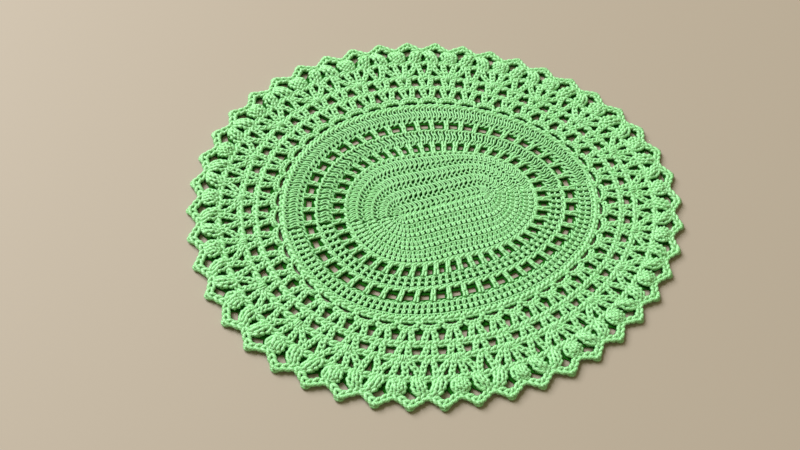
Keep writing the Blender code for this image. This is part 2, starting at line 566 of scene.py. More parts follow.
@dataclass(frozen=True)
class PaintedShadeCore:
    """Cotton deep inside the stitches, its dark green painted as the shade that lies there."""

    # Both colours are painted shade: dark green, and a lighter green at the middle of each mottle.
    colour: str = "0b4606"
    lighter_painted_shade: str = "1c660e"
    pitch: float = 1.6 * MM
    relief: float = 0.5 * MM
    strength: float = 0.8
    roughness: float = 0.9
    specular: float = 0.1

    def material(self, name: str = "shaded_cotton_core") -> bpy.types.Material:
        """The core's painted shade, mottled at the width of a strand.

        Args:
            name: Name of the material.

        Returns:
            A material that reads Object coordinates.
        """
        # Cotton in shade, its colour painted dark and matt, so that the gaps between strands look
        # deep.
        made = bpy.data.materials.new(name)
        made.use_nodes = True
        tree = made.node_tree
        shader = tree.nodes["Principled BSDF"]
        coords = add_node(tree, "ShaderNodeTexCoord")
        strands = add_node(
            tree,
            "ShaderNodeTexVoronoi",
            inputs={"Vector": coords.outputs["Object"], "Scale": 1.0 / self.pitch},
        )
        tint = add_node(
            tree,
            "ShaderNodeMix",
            {"data_type": "RGBA"},
            {
                "Factor": strands.outputs["Distance"],
                6: linear(self.lighter_painted_shade),
                7: linear(self.colour),
            },
        )
        bump = add_node(
            tree,
            "ShaderNodeBump",
            {"invert": True},
            {
                "Height": strands.outputs["Distance"],
                "Strength": self.strength,
                "Distance": self.relief,
            },
        )
        tree.links.new(tint.outputs[2], shader.inputs["Base Color"])
        tree.links.new(bump.outputs["Normal"], shader.inputs["Normal"])
        shader.inputs["Roughness"].default_value = self.roughness
        shader.inputs["Specular IOR Level"].default_value = self.specular
        return made


@dataclass
class StitchTree:
    """Node tree that works one stitch all round a strip and gives its strands thickness.

    Its wander is the hand work's unevenness: a shift that changes smoothly over a patch,
    with less of it up and down than along the cloth.
    """

    tree: bpy.types.NodeTree = field(init=False)
    wander_patch: float = 5.0 * MM
    wander_detail: float = 2.0
    wander_roughness: float = 0.6
    wander_lift: float = 0.5

    def __post_init__(self) -> None:
        """Build the tree."""
        self.tree = bpy.data.node_groups.new("work_stitches_round", "GeometryNodeTree")
        self.sockets()
        self.nodes()

    def sockets(self) -> None:
        """Name the tree's inputs and its output."""
        face = self.tree.interface
        inputs = (
            ("Strip", "NodeSocketGeometry"),
            ("Stitch", "NodeSocketObject"),
            ("Count", "NodeSocketInt"),
            ("Worked", "NodeSocketInt"),
            ("Start", "NodeSocketFloat"),
            ("Strip Length", "NodeSocketFloat"),
            ("Strip Width", "NodeSocketFloat"),
            ("Yarn Radius", "NodeSocketFloat"),
            ("Yarn Sides", "NodeSocketInt"),
            ("Smoothness", "NodeSocketInt"),
            ("Unevenness", "NodeSocketFloat"),
            ("Seed", "NodeSocketInt"),
            ("Yarn", "NodeSocketMaterial"),
        )
        for name, kind in inputs:
            face.new_socket(name=name, in_out="INPUT", socket_type=kind)
        face.new_socket(name="Stitches", in_out="OUTPUT", socket_type="NodeSocketGeometry")

    def nodes(self) -> None:
        """Lay the stitches round, bend them to the oval and thicken their strands."""
        tree = self.tree
        source = add_node(tree, "NodeGroupInput").outputs
        laid = self.lay_round(source)
        bent = self.bend(source, laid)
        tubes = self.thicken(source, bent)
        smooth = add_node(tree, "GeometryNodeSetShadeSmooth", inputs={"Geometry": tubes})
        real = add_node(
            tree, "GeometryNodeRealizeInstances", inputs={"Geometry": smooth.outputs[0]}
        )
        dyed = add_node(
            tree,
            "GeometryNodeSetMaterial",
            inputs={"Geometry": real.outputs[0], "Material": source["Yarn"]},
        )
        add_node(tree, "NodeGroupOutput", inputs={0: dyed.outputs[0]})

    def lay_round(self, source: bpy.types.NodeOutputs) -> bpy.types.NodeSocket:
        """One copy of the stitch for each place, which remembers its place.

        Args:
            source: The tree's inputs.

        Returns:
            The copies as real curves, all still in one spot.
        """
        tree = self.tree
        spots = add_node(
            tree,
            "GeometryNodeMeshLine",
            inputs={"Count": source["Worked"], "Offset": (0.0, 0.0, 0.0)},
        )
        stitch = add_node(tree, "GeometryNodeObjectInfo", inputs={"Object": source["Stitch"]})
        index = add_node(tree, "GeometryNodeInputIndex")
        copies = add_node(
            tree,
            "GeometryNodeInstanceOnPoints",
            inputs={"Points": spots.outputs[0], "Instance": stitch.outputs["Geometry"]},
        )
        marked = add_node(
            tree,
            "GeometryNodeStoreNamedAttribute",
            {"data_type": "FLOAT", "domain": "INSTANCE"},
            {"Geometry": copies.outputs[0], "Name": "place", "Value": index.outputs[0]},
        )
        return add_node(
            tree, "GeometryNodeRealizeInstances", inputs={"Geometry": marked.outputs[0]}
        ).outputs[0]

    def bend(
        self, source: bpy.types.NodeOutputs, laid: bpy.types.NodeSocket
    ) -> bpy.types.NodeSocket:
        """Move each point from the flat stitch to its place on the strip.

        Args:
            source: The tree's inputs.
            laid: The copies of the stitch.

        Returns:
            The copies round the oval, a little uneven and thinner where they crowd.
        """
        tree = self.tree
        spot = add_node(tree, "GeometryNodeInputPosition")
        split = add_node(tree, "ShaderNodeSeparateXYZ", inputs={0: spot.outputs[0]})
        chart_spot = self.chart_spot(source, split.outputs)
        chart = add_node(
            tree,
            "GeometryNodeInputNamedAttribute",
            {"data_type": "FLOAT_VECTOR"},
            {"Name": "chart"},
        )
        ground = add_node(tree, "GeometryNodeInputPosition")
        found = add_node(
            tree,
            "GeometryNodeSampleUVSurface",
            {"data_type": "FLOAT_VECTOR"},
            {
                "Mesh": source["Strip"],
                "Value": ground.outputs[0],
                "UV Map": chart.outputs["Attribute"],
                "Sample UV": chart_spot,
            },
        )
        lift = add_node(tree, "ShaderNodeCombineXYZ", inputs={"Z": split.outputs["Z"]})
        raised = add_node(
            tree,
            "ShaderNodeVectorMath",
            {"operation": "ADD"},
            {0: found.outputs["Value"], 1: lift.outputs[0]},
        )
        wander = self.wander(source, raised.outputs[0])
        room = add_node(
            tree, "GeometryNodeInputNamedAttribute", {"data_type": "FLOAT"}, {"Name": "room"}
        )
        room_found = add_node(
            tree,
            "GeometryNodeSampleUVSurface",
            {"data_type": "FLOAT"},
            {
                "Mesh": source["Strip"],
                "Value": room.outputs["Attribute"],
                "UV Map": chart.outputs["Attribute"],
                "Sample UV": chart_spot,
            },
        )
        thickness = add_node(tree, "GeometryNodeInputRadius")
        thinned = add_node(
            tree,
            "ShaderNodeMath",
            {"operation": "MULTIPLY"},
            {0: thickness.outputs[0], 1: room_found.outputs["Value"]},
        )
        narrowed = add_node(
            tree,
            "GeometryNodeSetCurveRadius",
            inputs={"Curve": laid, "Radius": thinned.outputs[0]},
        )
        return add_node(
            tree,
            "GeometryNodeSetPosition",
            inputs={
                "Geometry": narrowed.outputs[0],
                "Position": raised.outputs[0],
                "Offset": wander,
            },
        ).outputs[0]

    def chart_spot(
        self, source: bpy.types.NodeOutputs, flat: bpy.types.NodeOutputs
    ) -> bpy.types.NodeSocket:
        """Where a point of the flat stitch lies, as shares along and across the strip.

        Args:
            source: The tree's inputs.
            flat: The point's X, Y and Z on the flat stitch.

        Returns:
            The two shares as a vector.
        """
        tree = self.tree
        place = add_node(
            tree, "GeometryNodeInputNamedAttribute", {"data_type": "FLOAT"}, {"Name": "place"}
        )
        moved = add_node(
            tree,
            "ShaderNodeMath",
            {"operation": "ADD"},
            {0: place.outputs["Attribute"], 1: source["Start"]},
        )
        turn = add_node(
            tree,
            "ShaderNodeMath",
            {"operation": "DIVIDE"},
            {0: moved.outputs[0], 1: source["Count"]},
        )
        wrapped = add_node(tree, "ShaderNodeMath", {"operation": "FRACT"}, {0: turn.outputs[0]})
        side = add_node(
            tree,
            "ShaderNodeMath",
            {"operation": "DIVIDE"},
            {0: flat["X"], 1: source["Strip Length"]},
        )
        share = add_node(
            tree,
            "ShaderNodeMath",
            {"operation": "ADD"},
            {0: wrapped.outputs[0], 1: side.outputs[0]},
        )
        height = add_node(
            tree,
            "ShaderNodeMath",
            {"operation": "DIVIDE"},
            {0: flat["Y"], 1: source["Strip Width"]},
        )
        return add_node(
            tree, "ShaderNodeCombineXYZ", inputs={"X": share.outputs[0], "Y": height.outputs[0]}
        ).outputs[0]

    def wander(
        self, source: bpy.types.NodeOutputs, spot: bpy.types.NodeSocket
    ) -> bpy.types.NodeSocket:
        """Small smooth shift of each point, as uneven as hand work.

        Args:
            source: The tree's inputs.
            spot: Where the point is.

        Returns:
            The shift.
        """
        tree = self.tree
        noise = add_node(
            tree,
            "ShaderNodeTexNoise",
            {"noise_dimensions": "4D"},
            {
                "Vector": spot,
                "W": source["Seed"],
                "Scale": 1.0 / self.wander_patch,
                "Detail": self.wander_detail,
                "Roughness": self.wander_roughness,
            },
        )
        centred = add_node(
            tree,
            "ShaderNodeVectorMath",
            {"operation": "SUBTRACT"},
            {0: noise.outputs["Color"], 1: (0.5, 0.5, 0.5)},
        )
        flattened = add_node(
            tree,
            "ShaderNodeVectorMath",
            {"operation": "MULTIPLY"},
            {0: centred.outputs[0], 1: (1.0, 1.0, self.wander_lift)},
        )
        return add_node(
            tree,
            "ShaderNodeVectorMath",
            {"operation": "SCALE"},
            {0: flattened.outputs[0], "Scale": source["Unevenness"]},
        ).outputs[0]

    def thicken(
        self, source: bpy.types.NodeOutputs, bent: bpy.types.NodeSocket
    ) -> bpy.types.NodeSocket:
        """Round tubes along the strands, with the turn and run that the twist follows.

        Args:
            source: The tree's inputs.
            bent: The strands' middle lines.

        Returns:
            The tubes.
        """
        tree = self.tree
        curved = add_node(
            tree, "GeometryNodeCurveSplineType", {"spline_type": "CATMULL_ROM"}, {"Curve": bent}
        )
        fine = add_node(
            tree,
            "GeometryNodeSetSplineResolution",
            inputs={"Geometry": curved.outputs[0], "Resolution": source["Smoothness"]},
        )
        along = add_node(tree, "GeometryNodeSplineParameter")
        with_run = add_node(
            tree,
            "GeometryNodeStoreNamedAttribute",
            {"data_type": "FLOAT", "domain": "POINT"},
            {"Geometry": fine.outputs[0], "Name": "run", "Value": along.outputs["Length"]},
        )
        ring = add_node(
            tree,
            "GeometryNodeCurvePrimitiveCircle",
            inputs={"Resolution": source["Yarn Sides"], "Radius": 1.0},
        )
        ring_spot = add_node(tree, "GeometryNodeInputPosition")
        with_turn = add_node(
            tree,
            "GeometryNodeStoreNamedAttribute",
            {"data_type": "FLOAT_VECTOR", "domain": "POINT"},
            {"Geometry": ring.outputs[0], "Name": "turn", "Value": ring_spot.outputs[0]},
        )
        thickness = add_node(tree, "GeometryNodeInputRadius")
        width = add_node(
            tree,
            "ShaderNodeMath",
            {"operation": "MULTIPLY"},
            {0: thickness.outputs[0], 1: source["Yarn Radius"]},
        )
        return add_node(
            tree,
            "GeometryNodeCurveToMesh",
            inputs={
                "Curve": with_run.outputs[0],
                "Profile Curve": with_turn.outputs[0],
                "Scale": width.outputs[0],
                "Fill Caps": True,
            },
        ).outputs[0]

    def dress(self, target: bpy.types.Object, values: dict[str, Any]) -> bpy.types.Object:
        """Run the tree on a strip and keep the result as a plain mesh.

        Args:
            target: Object whose mesh is the strip.
            values: A value for each named input.

        Returns:
            A new object with the finished stitches.
        """
        step = target.modifiers.new("stitches", "NODES")
        step.node_group = self.tree
        for item in self.tree.interface.items_tree:
            if item.name in values:
                step[item.identifier] = values[item.name]
        bpy.context.view_layer.update()
        seen = target.evaluated_get(bpy.context.evaluated_depsgraph_get())
        mesh = bpy.data.meshes.new_from_object(seen)
        name = target.name
        target.modifiers.remove(step)
        bpy.data.objects.remove(target, do_unlink=True)
        mesh.name = name
        return new_object(name, mesh)


# ---------------------------------------------------------------- stitches


def scaled(points: tuple[Point, ...]) -> list[Point]:
    """Points given in millimetres, turned to metres."""
    return [(x * MM, y * MM, z * MM) for x, y, z in points]


@dataclass(frozen=True)
class Braid:
    """Chain of stitches, each a V whose arms run out over the one before.

    Its arm holds shares of a stitch along the chain, shares of the half width to the side,
    and heights in millimetres.
    """

    links: int
    half_width: float
    thick: float
    overlap: float = 0.25
    arm: tuple[Point, ...] = (
        (0.0, 0.15, -0.7), (0.3, 0.5, 0.1), (0.7, 1.0, 0.3), (1.1, 1.1, -0.2), (1.4, 0.7, -0.9),
    )

    def strands(self, route: Route) -> list[Strand]:
        """Both arms of each stitch.

        Args:
            route: The middle line of the chain.

        Returns:
            Two strands for each stitch.
        """
        made = []
        for link in range(self.links):
            for side in (-1.0, 1.0):
                points = []
                for along, across, height in self.arm:
                    share = (link - self.overlap + along) / self.links
                    points.append(route.place(share, side * across * self.half_width, height * MM))
                made.append(Strand(points, self.thick))
        return made


@dataclass(frozen=True)
class TallStitch:
    """A tall stitch on its own: two strands side by side, yarn wrapped over them, a run behind.

    Its head and foot are shares of its full width. The two sides bulge and rise in turn. A
    wrap holds shares of its slope along the stitch, shares of the half width to the side,
    and heights in millimetres.
    """

    wraps: int
    half_width: float
    head: float = 1.0
    foot: float = 0.85
    thick: float = 1.2
    bulge: float = 0.16
    rise: float = 0.3 * MM
    full_between: Spot = (0.3, 0.7)
    wrap: tuple[Point, ...] = (
        (-0.1, 1.25, -0.3), (-0.04, 0.45, 0.75), (0.04, -0.45, 0.75), (0.1, -1.25, -0.3),
    )
    wrap_slope: float = 2.4
    wrap_thick: float = 0.8
    behind: tuple[float, ...] = (0.0, 0.33, 0.67, 1.0)
    behind_height: float = 0.95 * MM
    behind_thick: float = 0.9

    def strands(self, route: Route) -> list[Strand]:
        """The whole stitch.

        Args:
            route: The middle line of the stitch.

        Returns:
            Its sides, its wraps and the run behind them.
        """
        back = []
        for share in self.behind:
            x, y, z = route.place(share, 0.0, 0.0)
            back.append((x, y, self.behind_height))
        behind = Strand(back, self.behind_thick * self.thick)
        return [*self.sides(route), *self.wound(route), behind]

    def sides(self, route: Route) -> list[Strand]:
        """The two strands side by side.

        Args:
            route: The middle line of the stitch.

        Returns:
            The strands.
        """
        steps = 2 * (self.wraps + 1)
        places = (0.0, *self.full_between, 1.0)
        widths = (self.foot, 1.0, 1.0, self.head)
        made = []
        for side in (-1.0, 1.0):
            points = []
            for step in range(steps + 1):
                share = step / steps
                width = float(np.interp(share, places, widths))
                out = (step + (side > 0.0)) % 2
                width += self.bulge if out else -self.bulge
                points.append(route.place(share, side * width * self.half_width, self.rise * out))
            made.append(Strand(points, self.thick))
        return made

    def wound(self, route: Route) -> list[Strand]:
        """The yarn wrapped over both strands.

        Args:
            route: The middle line of the stitch.

        Returns:
            One strand for each wrap.
        """
        slope = self.wrap_slope / (self.wraps + 1)
        made = []
        for index in range(self.wraps):
            middle = (index + 1) / (self.wraps + 1)
            points = [
                route.place(middle + slope * along, side * self.half_width, height * MM)
                for along, side, height in self.wrap
            ]
            made.append(Strand(points, self.wrap_thick * self.thick))
        return made


@dataclass
class Round:
    """One round of stitches: a strip of cloth and the stitch that is worked round it.

    The first stitch stands at its start, a share of the pitch from the +X end.
    """

    name: str
    strip: Strip
    count: int
    start: float
    unevenness: float = 1.8 * MM
    seed: int = 1
    worked: Optional[int] = None

    @property
    def pitch(self) -> float:
        """Distance between two stitches."""
        return self.strip.length() / self.count

    def strands(self) -> list[Strand]:
        """Strands of one stitch, laid out flat."""
        raise NotImplementedError

    def stitch_object(self) -> bpy.types.Object:
        """Put the strands of one stitch in the scene.

        Returns:
            A curve object with one spline for each strand.
        """
        curve = bpy.data.curves.new(self.name + "_stitch", "CURVE")
        curve.dimensions = "3D"
        for strand in self.strands():
            spline = curve.splines.new("POLY")
            spline.points.add(len(strand.points) - 1)
            swell = strand.swell or [0.0] * len(strand.points)
            for slot, point, extra in zip(spline.points, strand.points, swell):
                slot.co = (*point, 1.0)
                slot.radius = strand.thick * (1.0 + extra)
        return new_object(curve.name, curve)

    def build(
        self, stitches: StitchTree, yarn: Yarn, material: bpy.types.Material
    ) -> bpy.types.Object:
        """Work the stitch all round the strip.

        Args:
            stitches: The node tree that does it.
            yarn: The yarn's sizes.
            material: The yarn's finish.

        Returns:
            The finished piece.
        """
        stitch = self.stitch_object()
        target = new_object(self.name, self.strip.mesh(self.name + "_strip"))
        worked = self.worked or self.count
        made = stitches.dress(
            target,
            {
                "Stitch": stitch,
                "Count": self.count,
                "Worked": worked,
                "Start": self.start,
                "Strip Length": self.strip.length(),
                "Strip Width": self.strip.width,
                "Yarn Radius": yarn.radius,
                "Yarn Sides": yarn.sides,
                "Smoothness": yarn.smoothness,
                "Unevenness": self.unevenness,
                "Seed": self.seed,
                "Yarn": material,
            },
        )
        bpy.data.objects.remove(stitch, do_unlink=True)
        LOG.info("%s: %d stitches, %d faces", self.name, worked, len(made.data.polygons))
        return made


class Facing(Enum):
    """Which side of its trebles a close round shows."""

    ARCHED = "an arch over slanting strands"
    LOOPED = "two small loops, one over the other"


@dataclass
class CloseRound(Round):
    """Trebles side by side, which show one side or the other.

    Their tables are in millimetres: along the round, down from its upper edge in the
    picture as far as their reach, and height.
    """

    places: tuple[float, ...] = (0.0,)
    facing: Facing = Facing.LOOPED
    arched_thick: float = 0.71
    looped_thick: float = 0.86
    reach: float = 10.4
    arched: tuple[tuple[Point, ...], ...] = (
        (
            (2.4, 4.9, 1.8), (1.8, 3.8, 2.2), (1.3, 2.8, 2.5), (1.2, 1.9, 2.8), (0.8, 1.1, 3.0),
            (0.05, 0.65, 3.1), (-0.75, 1.1, 3.0), (-1.2, 2.1, 2.8), (-1.05, 3.2, 2.8),
            (-0.6, 4.4, 2.9), (-0.1, 5.6, 2.9), (0.1, 6.8, 2.8), (-0.3, 8.0, 2.6),
            (-1.0, 9.2, 2.3), (-1.4, 10.7, 1.8),
        ),
        (
            (0.0, 2.8, 1.7), (0.4, 3.5, 2.5), (1.0, 4.4, 2.9), (1.7, 5.5, 2.9), (2.15, 6.6, 2.8),
            (2.1, 7.8, 2.6), (1.85, 9.0, 2.4), (1.6, 10.7, 1.7),
        ),
        ((1.9, 7.0, 2.2), (1.1, 7.8, 2.8), (0.3, 8.3, 2.8), (-0.6, 8.9, 2.2)),
        ((0.0, 3.4, 1.0), (-0.5, 6.0, 1.0), (-0.5, 8.0, 1.0), (-1.7, 10.4, 1.0)),
    )
    looped: tuple[tuple[Point, ...], ...] = (
        (
            (-0.4, 4.0, 2.1), (-0.55, 3.0, 2.7), (-0.55, 1.8, 3.0), (-0.25, 1.0, 3.2),
            (0.35, 1.0, 3.2), (0.55, 1.8, 3.0), (0.5, 3.0, 2.8), (0.1, 3.8, 2.5), (-0.5, 3.9, 2.2),
        ),
        (
            (0.1, 4.6, 2.4), (0.5, 5.1, 2.9), (0.6, 6.0, 3.0), (0.45, 6.8, 3.0), (-0.2, 7.0, 3.0),
            (-0.6, 6.4, 2.9), (-0.5, 5.4, 2.8), (-0.3, 4.7, 2.5),
        ),
        ((0.7, 4.0, 1.9), (1.9, 4.2, 2.3), (3.1, 4.5, 1.9)),
        ((0.2, 7.5, 2.3), (1.0, 8.1, 2.8), (2.1, 8.3, 2.7), (3.2, 7.7, 2.3)),
        ((-0.2, 7.2, 2.3), (-0.1, 8.4, 2.6), (0.1, 9.5, 2.5), (-0.1, 10.8, 1.8)),
        ((2.2, 8.3, 2.2), (2.1, 9.0, 2.5), (2.0, 9.8, 2.4), (2.0, 10.8, 1.8)),
        ((0.7, 1.0, 1.7), (1.95, 0.5, 2.0), (3.2, 1.0, 1.7)),
        ((0.0, 1.0, 1.3), (0.0, 4.0, 1.4), (0.2, 7.0, 1.3), (0.6, 9.6, 1.2), (0.6, 10.4, 1.1)),
    )

    def strands(self) -> list[Strand]:
        """Every treble, turned round where down in the picture is inwards.

        Returns:
            The strands of one treble for each place.
        """
        width = self.strip.width
        across = width / (self.reach * MM)
        turned = self.facing is Facing.ARCHED
        shapes = self.arched if turned else self.looped
        thick = self.arched_thick if turned else self.looped_thick
        made = []
        for place in self.places:
            for shape in shapes:
                points = []
                for x, y, z in scaled(shape):
                    far = width - y * across if turned else y * across
                    points.append((place - x if turned else place + x, far, z))
                made.append(Strand(points, thick))
        return made


@dataclass
class ChainEdge(Round):
    """Bold line of chain links along the edge of a round.

    Each link is a plump strand that slants over the next one's end, with a lower one beside
    it where it is backed. Both hold shares of a link's length along the chain, shares of
    the slant to the side, and heights in millimetres.
    """

    height: float = 2.6 * MM
    slant: float = 0.7 * MM
    thick: float = 1.42
    backed: bool = True
    back_thick: float = 0.85
    front: tuple[Point, ...] = (
        (-0.62, 1.0, -0.75), (-0.3, 0.75, 0.0), (0.0, 0.0, 0.2), (0.3, -0.75, 0.0),
        (0.62, -1.0, -0.75),
    )
    back: tuple[Point, ...] = (
        (-0.6, 1.6, -1.1), (-0.2, 2.9, -0.4), (0.2, 3.1, -0.4), (0.6, 1.8, -1.1),
    )

    def strands(self) -> list[Strand]:
        """One link.

        Returns:
            One or two strands.
        """
        half = self.pitch / 2.0
        route = Route(((-half, 0.0, self.height), (half, 0.0, self.height)))
        shapes = [(self.front, self.thick)]
        if self.backed:
            shapes.append((self.back, self.back_thick * self.thick))
        made = []
        for shape, thick in shapes:
            points = [
                route.place(0.5 + along, side * self.slant, height * MM)
                for along, side, height in shape
            ]
            made.append(Strand(points, thick))
        return made


@dataclass
class Posts(Round):
    """Single trebles with open eyelets between them."""

    treble: TallStitch = TallStitch(wraps=1, half_width=0.85 * MM, head=1.4, thick=1.12)
    sunk: float = 0.6 * MM
    height: float = 2.5 * MM

    def strands(self) -> list[Strand]:
        """One post, its foot sunk in the round below."""
        route = Route(((0.0, -self.sunk, self.height), (0.0, self.strip.width, self.height)))
        return self.treble.strands(route)


@dataclass
class Arches(Round):
    """Low chain arches that stand on the edge of the outer band."""

    chain: Braid = Braid(links=4, half_width=1.15 * MM, thick=1.15)
    anchor: TallStitch = TallStitch(wraps=1, half_width=1.2 * MM, head=1.8)
    anchor_foot: float = -0.4 * MM
    anchor_head: float = 4.6 * MM
    rise: float = 5.6 * MM
    foot_inset: float = 1.4 * MM
    foot_rise: float = 0.74
    shoulder: float = 0.45
    shoulder_rise: float = 0.95
    height: float = 2.6 * MM

    def strands(self) -> list[Strand]:
        """One arch and the anchor at its end.

        Returns:
            The strands of both.
        """
        half = self.pitch / 2.0
        anchor = Route(
            ((half, self.anchor_foot, self.height), (half, self.anchor_head, self.height))
        )
        foot = (half - self.foot_inset, self.foot_rise)
        side = (foot, (half * self.shoulder, self.shoulder_rise))
        left = [(-x, y * self.rise, self.height) for x, y in side]
        right = [(x, y * self.rise, self.height) for x, y in reversed(side)]
        arch = Route((*left, (0.0, self.rise, self.height), *right))
        return [*self.anchor.strands(anchor), *self.chain.strands(arch)]


@dataclass
class Lattice(Round):
    """Two trebles in one place, spread like a V, with open lattice between the pairs."""

    treble: TallStitch = TallStitch(wraps=2, half_width=1.18 * MM, head=1.15)
    foot: float = 1.5 * MM
    knee: float = 3.0 * MM
    head: float = 4.0 * MM
    knee_share: float = 0.55
    unevenness: float = 2.6 * MM
    height: float = 2.6 * MM

    def strands(self) -> list[Strand]:
        """Both trebles.

        Returns:
            Their strands.
        """
        width = self.strip.width
        made = []
        for side in (-1.0, 1.0):
            route = Route(
                (
                    (side * self.foot, 0.0, self.height),
                    (side * self.knee, width * self.knee_share, self.height),
                    (side * self.head, width, self.height),
                )
            )
            made += self.treble.strands(route)
        return made


@dataclass
class Fans(Round):
    """Four trebles fanning out of one knot, and two in the space between two knots.

    The legs are given on one side of their own middle, in millimetres.
    """

    treble: TallStitch = TallStitch(wraps=3, half_width=1.15 * MM)
    unevenness: float = 2.6 * MM
    height: float = 2.6 * MM
    fan_legs: tuple[tuple[Spot, ...], ...] = (
        ((1.2, 0.8), (2.9, 6.5), (4.1, 12.9)),
        ((2.8, 1.0), (6.6, 4.2), (10.0, 8.2), (11.4, 12.6)),
    )
    pair_leg: tuple[Spot, ...] = ((1.4, 0.2), (3.4, 6.0), (4.6, 12.9))

    def strands(self) -> list[Strand]:
        """The fan and the pair beside it.

        Returns:
            The strands of their trebles.
        """
        legs = [(0.0, leg) for leg in self.fan_legs]
        legs.append((self.pitch / 2.0, self.pair_leg))
        made = []
        for side in (-1.0, 1.0):
            for middle, leg in legs:
                points = [(middle + side * x * MM, y * MM, self.height) for x, y in leg]
                made += self.treble.strands(Route(tuple(points)))
        return made


@dataclass
class Knots(Round):
    """Strands bunched over the ridge where a fan starts.

    Their bend holds shares of the strip's width and shares of each strand's own place.
    """

    strand_count: int = 5
    spread: float = 5.6 * MM
    low: float = 1.2 * MM
    top: float = 4.0 * MM
    outer_drop: float = 1.2 * MM
    shoulder: float = 0.85
    thick: float = 0.85
    bend: tuple[Spot, ...] = ((0.0, 0.6), (0.18, 0.9), (0.5, 1.0), (0.82, 0.9), (1.0, 0.6))

    def strands(self) -> list[Strand]:
        """One knot, highest in its middle.

        Returns:
            Its bunched strands.
        """
        made = []
        for index in range(self.strand_count):
            part = 2.0 * index / (self.strand_count - 1) - 1.0
            x = part * self.spread / 2.0
            top = self.top - self.outer_drop * part * part
            heights = (self.low, top * self.shoulder, top, top * self.shoulder, self.low)
            points = [
                (x * pinch, self.strip.width * share, height)
                for (share, pinch), height in zip(self.bend, heights)
            ]
            made.append(Strand(points, self.thick))
        return made


@dataclass(frozen=True)
class Puff:
    """One kind of puff: its strands, half its width at foot, middle and head, and its ends."""

    strand_count: int
    halves: Point
    ends: Spot


@dataclass
class Puffs(Round):
    """Puff stitches: trebles with one foot and one head, which bulge between them.

    Each strand snakes to and fro over the bulge, thick and thin in turn like beads.
    """

    single: Puff = Puff(6, (2.4 * MM, 5.4 * MM, 2.6 * MM), (1.5 * MM, 11.9 * MM))
    pair: Puff = Puff(4, (1.7 * MM, 4.0 * MM, 1.5 * MM), (0.0, 12.9 * MM))
    pair_places: Point = (7.6 * MM, 6.1 * MM, 2.8 * MM)
    steps: int = 9
    low: float = 2.0 * MM
    top: float = 4.2 * MM
    roundness: float = 0.6
    fill: float = 0.9
    fall: float = 0.8
    least_rise: float = 0.1
    swings: float = 2.6
    wander: float = 0.07
    wander_jitter: float = 0.05
    ripple: float = 0.3 * MM
    sway: float = 0.42 * MM
    bead: float = 0.2
    bead_jitter: float = 0.1
    thick: float = 1.4
    under_legs: Point = (-0.6, 0.0, 0.6)
    under_shares: Spot = (0.3, 0.7)
    under_end: float = 1.0 * MM
    under_middle: float = 1.1 * MM
    under_thick: float = 1.3

    def front(self, puff: Puff, places: Point, seed: int) -> list[Strand]:
        """Strands over the front of one puff.

        Args:
            puff: The kind of puff.
            places: Where its foot, its middle and its head lie along the round.
            seed: Seed of its own unevenness.

        Returns:
            The strands.
        """
        foot, head = puff.ends
        halves = puff.halves
        chance = random.Random(seed)
        made = []
        for index in range(puff.strand_count):
            base = 2.0 * index / (puff.strand_count - 1) - 1.0
            phase = chance.uniform(0.0, 2.0)
            points = []
            swell = []
            for step in range(self.steps + 1):
                share = step / self.steps
                bulge = math.sin(math.pi * share) ** self.roundness
                place = float(np.interp(share, (0.0, 0.5, 1.0), places))
                end = float(np.interp(share, (0.0, 0.5, 1.0), (halves[0], 0.0, halves[2])))
                half = end + (halves[1] - 0.5 * end) * bulge
                swing = math.pi * (self.swings * share + phase)
                jitter = chance.uniform(-self.wander_jitter, self.wander_jitter)
                leg = self.fill * base + self.wander * math.sin(swing) + jitter
                arc = math.sqrt(max(1.0 - self.fall * leg * leg, self.least_rise))
                rise = (self.top - self.low) * arc
                height = self.low + rise * bulge + self.ripple * math.cos(swing)
                bead = 1.0 - 2.0 * ((step + index) % 2)
                x = place + leg * half + self.sway * bead
                points.append((x, foot + share * (head - foot), height))
                extra = chance.uniform(-self.bead_jitter, self.bead_jitter)
                swell.append(self.bead * bead + extra)
            made.append(Strand(points, self.thick, swell))
        return made

    def under(self, puff: Puff, places: Point) -> list[Strand]:
        """Flat strands under one puff.

        Args:
            puff: The kind of puff.
            places: Where its foot, its middle and its head lie along the round.

        Returns:
            The strands.
        """
        foot, head = puff.ends
        early, late = self.under_shares
        made = []
        for leg in self.under_legs:
            x = [place + leg * half for place, half in zip(places, puff.halves)]
            points = [
                (x[0], foot, self.under_end),
                (x[1], foot + early * (head - foot), self.under_middle),
                (x[1], foot + late * (head - foot), self.under_middle),
                (x[2], head, self.under_end),
            ]
            made.append(Strand(points, self.under_thick))
        return made

    def strands(self) -> list[Strand]:
        """The single puff on a fan and the two that lean together between two fans.

        Returns:
            The strands of all three.
        """
        middle = (0.0, 0.0, 0.0)
        made = [*self.front(self.single, middle, self.seed), *self.under(self.single, middle)]
        for side in (-1.0, 1.0):
            places = tuple(self.pitch / 2.0 + side * place for place in self.pair_places)
            seed = self.seed + 2 + int(side)
            made += [*self.front(self.pair, places, seed), *self.under(self.pair, places)]
        return made


